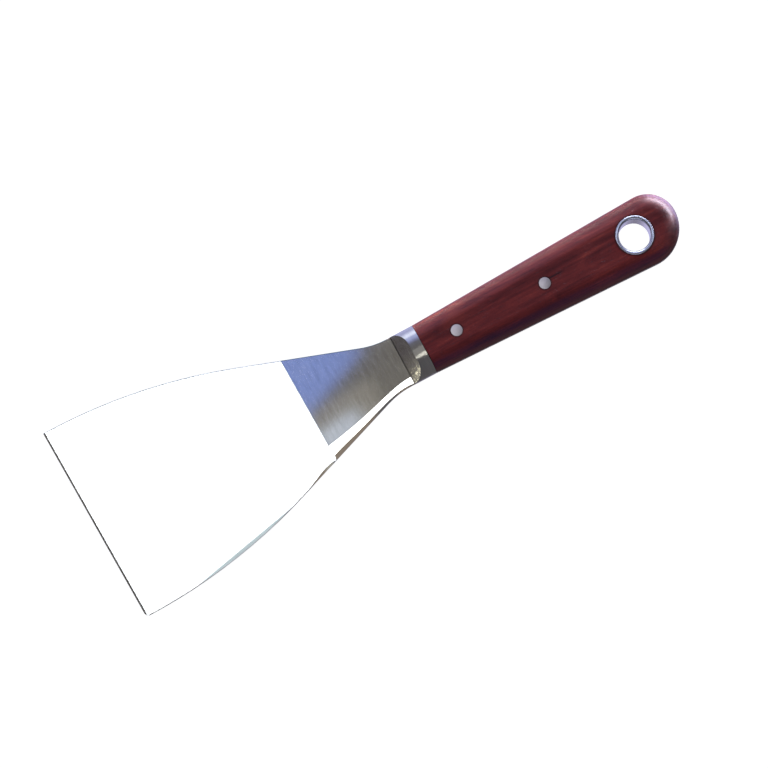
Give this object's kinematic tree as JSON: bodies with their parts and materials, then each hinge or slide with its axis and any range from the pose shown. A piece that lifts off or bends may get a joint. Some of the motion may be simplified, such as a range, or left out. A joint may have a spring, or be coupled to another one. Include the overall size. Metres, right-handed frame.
{
  "type": "filling knife",
  "caption": "Broad flexible steel blade, taper-ground from a thick neck, with a steel bolster and riveted rosewood handle scales and a steel-lined hanging hole",
  "frame": {"origin": "On the floor plane under the middle of the knife's length, on its centre line, with the knife lying on its back", "axes": "+X runs along the knife from the working edge to the end of the handle, +Z points out of the front face of the blade, +Y is across the blade, away from the side with the ground facets"},
  "size_m": [0.2358, 0.075, 0.0163],
  "materials": {
    "blade_steel": "polished on the ground part, cross-brushed on the neck",
    "bolster_steel": "polished",
    "rosewood": "oiled and buffed, satin",
    "rivet_steel": "satin, flush",
    "eyelet_steel": "polished"
  },
  "bodies": {
    "root": {"blade_with_tang": "blade_steel", "bolster_front": "bolster_steel", "bolster_back": "bolster_steel", "scale_front": "rosewood", "scale_back": "rosewood", "rivet_bolster_end": "rivet_steel", "rivet_middle": "rivet_steel", "hang_eyelet": "eyelet_steel"}
  },
  "joints": []
}
